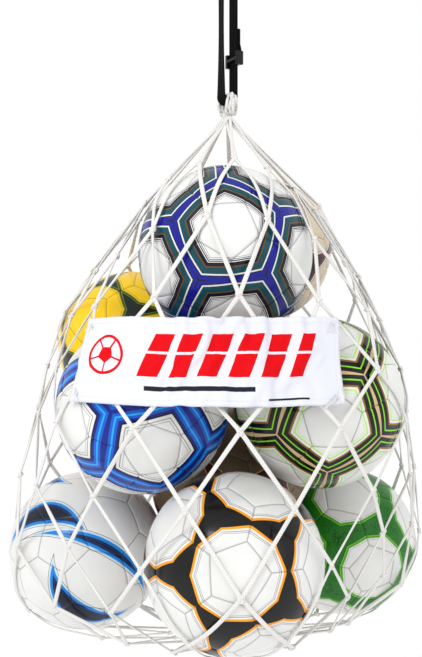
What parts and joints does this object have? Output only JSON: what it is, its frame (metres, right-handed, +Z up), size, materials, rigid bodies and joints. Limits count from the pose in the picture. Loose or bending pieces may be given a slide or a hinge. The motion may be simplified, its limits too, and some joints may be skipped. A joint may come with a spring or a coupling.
{
  "type": "mesh ball bag",
  "caption": "Knotted cord net bag filled with footballs, hung on an adjustable webbing strap with a slider, with a cloth banner tied to the front of the net.",
  "frame": {"origin": "inside of the strap's top bend, on the line where the strap rests on a hook", "axes": "+Z up along the hanging strap, -Y towards someone who looks at the banner, +X to that person's right"},
  "size_m": [0.6177, 0.5896, 0.9938],
  "materials": {
    "webbing": "woven polypropylene webbing",
    "stitch_thread": "polyester thread",
    "slider_plastic": "moulded acetal",
    "net_cord": "flat braided cord",
    "banner_cloth": "smooth printed polyester",
    "tie_thread": "twisted thread",
    "bladder": "matte butyl",
    "valve": "matte butyl",
    "casing_1": "glossy white with black bands edged in amber",
    "casing_2": "glossy white with navy and sky blue bands",
    "casing_3": "glossy white with green bands",
    "casing_4": "glossy white with bright blue bands",
    "casing_5": "glossy white with black and lime bands",
    "casing_6": "glossy yellow with dark green bands",
    "casing_7": "satin tan with maroon bands",
    "casing_8": "glossy white with light blue bands",
    "casing_9": "glossy white with teal, blue and gold bands",
    "casing_10": "satin beige with maroon bands"
  },
  "bodies": {
    "strap": {"strap_webbing": "webbing"},
    "slider": {"slider": "slider_plastic", "strap_tail": "webbing", "strap_stitches": "stitch_thread"},
    "gather": {"mouth_gather": "net_cord"},
    "net": {"mouth_strands": "net_cord", "net_row_1": "net_cord", "net_row_2": "net_cord", "net_row_3": "net_cord", "net_row_4": "net_cord", "net_row_5": "net_cord", "net_row_6": "net_cord", "net_row_7": "net_cord", "net_row_8": "net_cord", "net_row_9": "net_cord", "net_row_10": "net_cord", "bottom_tie": "net_cord", "banner_cloth": "banner_cloth", "banner_ties": "tie_thread"},
    "ball_1": {"ball_1_casing": "casing_1", "ball_1_bladder": "bladder", "ball_1_valve": "valve"},
    "ball_2": {"ball_2_casing": "casing_2", "ball_2_bladder": "bladder", "ball_2_valve": "valve"},
    "ball_3": {"ball_3_casing": "casing_3", "ball_3_bladder": "bladder", "ball_3_valve": "valve"},
    "ball_4": {"ball_4_casing": "casing_4", "ball_4_bladder": "bladder", "ball_4_valve": "valve"},
    "ball_5": {"ball_5_casing": "casing_5", "ball_5_bladder": "bladder", "ball_5_valve": "valve"},
    "ball_6": {"ball_6_casing": "casing_6", "ball_6_bladder": "bladder", "ball_6_valve": "valve"},
    "ball_7": {"ball_7_casing": "casing_7", "ball_7_bladder": "bladder", "ball_7_valve": "valve"},
    "ball_8": {"ball_8_casing": "casing_8", "ball_8_bladder": "bladder", "ball_8_valve": "valve"},
    "ball_9": {"ball_9_casing": "casing_9", "ball_9_bladder": "bladder", "ball_9_valve": "valve"},
    "ball_10": {"ball_10_casing": "casing_10", "ball_10_bladder": "bladder", "ball_10_valve": "valve"}
  },
  "joints": [
    {"name": "slider_slide", "type": "slide", "parent": "strap", "child": "slider", "axis": [0, 0, 1], "range_m": [-0.015, 0.1]},
    {"name": "gather_swing", "type": "hinge", "parent": "strap", "child": "gather", "pos_m": [0, 0, -0.219], "axis": [-0.5, 0.866, 0], "range_deg": [-60, 60]},
    {"name": "net_swing", "type": "hinge", "parent": "gather", "child": "net", "pos_m": [0, 0, -0.246], "axis": [0.866, 0.5, 0], "range_deg": [-30, 30]},
    {"name": "ball_1_turn", "type": "hinge", "parent": "net", "child": "ball_1", "pos_m": [0.005, -0.18, -0.83], "axis": [0, 0, 1], "continuous": true},
    {"name": "ball_2_turn", "type": "hinge", "parent": "net", "child": "ball_2", "pos_m": [-0.2, 0.02, -0.86], "axis": [0, 0, 1], "continuous": true},
    {"name": "ball_3_turn", "type": "hinge", "parent": "net", "child": "ball_3", "pos_m": [0.18, 0.125, -0.87], "axis": [0, 0, 1], "continuous": true},
    {"name": "ball_4_turn", "type": "hinge", "parent": "net", "child": "ball_4", "pos_m": [-0.11, -0.125, -0.645], "axis": [0, 0, 1], "continuous": true},
    {"name": "ball_5_turn", "type": "hinge", "parent": "net", "child": "ball_5", "pos_m": [0.115, -0.11, -0.64], "axis": [0, 0, 1], "continuous": true},
    {"name": "ball_6_turn", "type": "hinge", "parent": "net", "child": "ball_6", "pos_m": [-0.14, 0.085, -0.57], "axis": [0, 0, 1], "continuous": true},
    {"name": "ball_7_turn", "type": "hinge", "parent": "net", "child": "ball_7", "pos_m": [0, 0.04, -0.765], "axis": [0, 0, 1], "continuous": true},
    {"name": "ball_8_turn", "type": "hinge", "parent": "net", "child": "ball_8", "pos_m": [0.14, 0.165, -0.64], "axis": [0, 0, 1], "continuous": true},
    {"name": "ball_9_turn", "type": "hinge", "parent": "net", "child": "ball_9", "pos_m": [-0.005, -0.135, -0.45], "axis": [0, 0, 1], "continuous": true},
    {"name": "ball_10_turn", "type": "hinge", "parent": "net", "child": "ball_10", "pos_m": [0.05, 0.12, -0.425], "axis": [0, 0, 1], "continuous": true}
  ]
}
